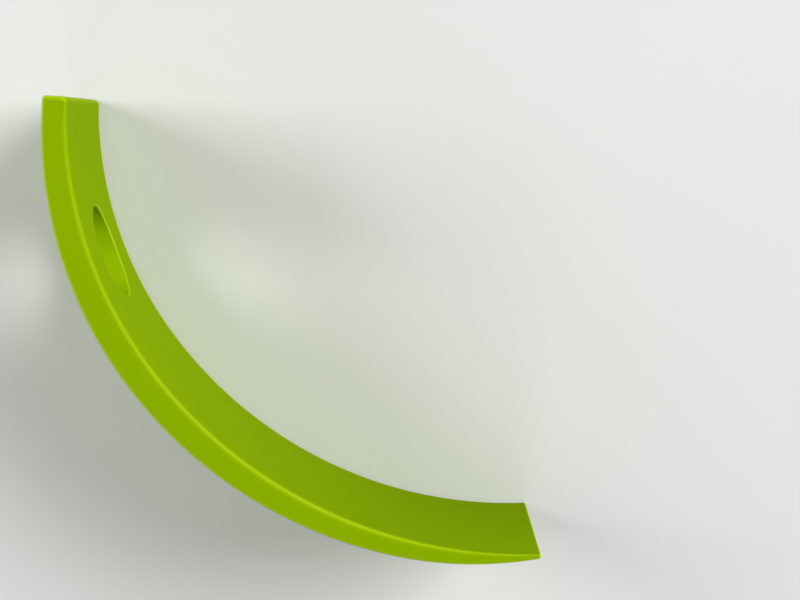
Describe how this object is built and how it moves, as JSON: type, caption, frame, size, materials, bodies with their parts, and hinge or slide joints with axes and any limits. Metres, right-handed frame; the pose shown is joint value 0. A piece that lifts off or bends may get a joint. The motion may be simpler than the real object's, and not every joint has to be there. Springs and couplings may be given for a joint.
{
  "type": "balancing wine bottle holder",
  "caption": "Curved tapering bar with a round hole near its upper end; the neck of a bottle goes through it, and the two balance level on the bar's rounded underside.",
  "frame": {"origin": "middle of the bar's side outline, on the side face that it lies on", "axes": "+X along the bottle towards its base, +Y up the holder as it stands in use, +Z across the bar's width, which is its height as it lies on its side"},
  "size_m": [0.167, 0.1568, 0.07],
  "materials": {
    "body": "smooth satin lime green"
  },
  "bodies": {
    "root": {"holder": "body"}
  },
  "joints": []
}
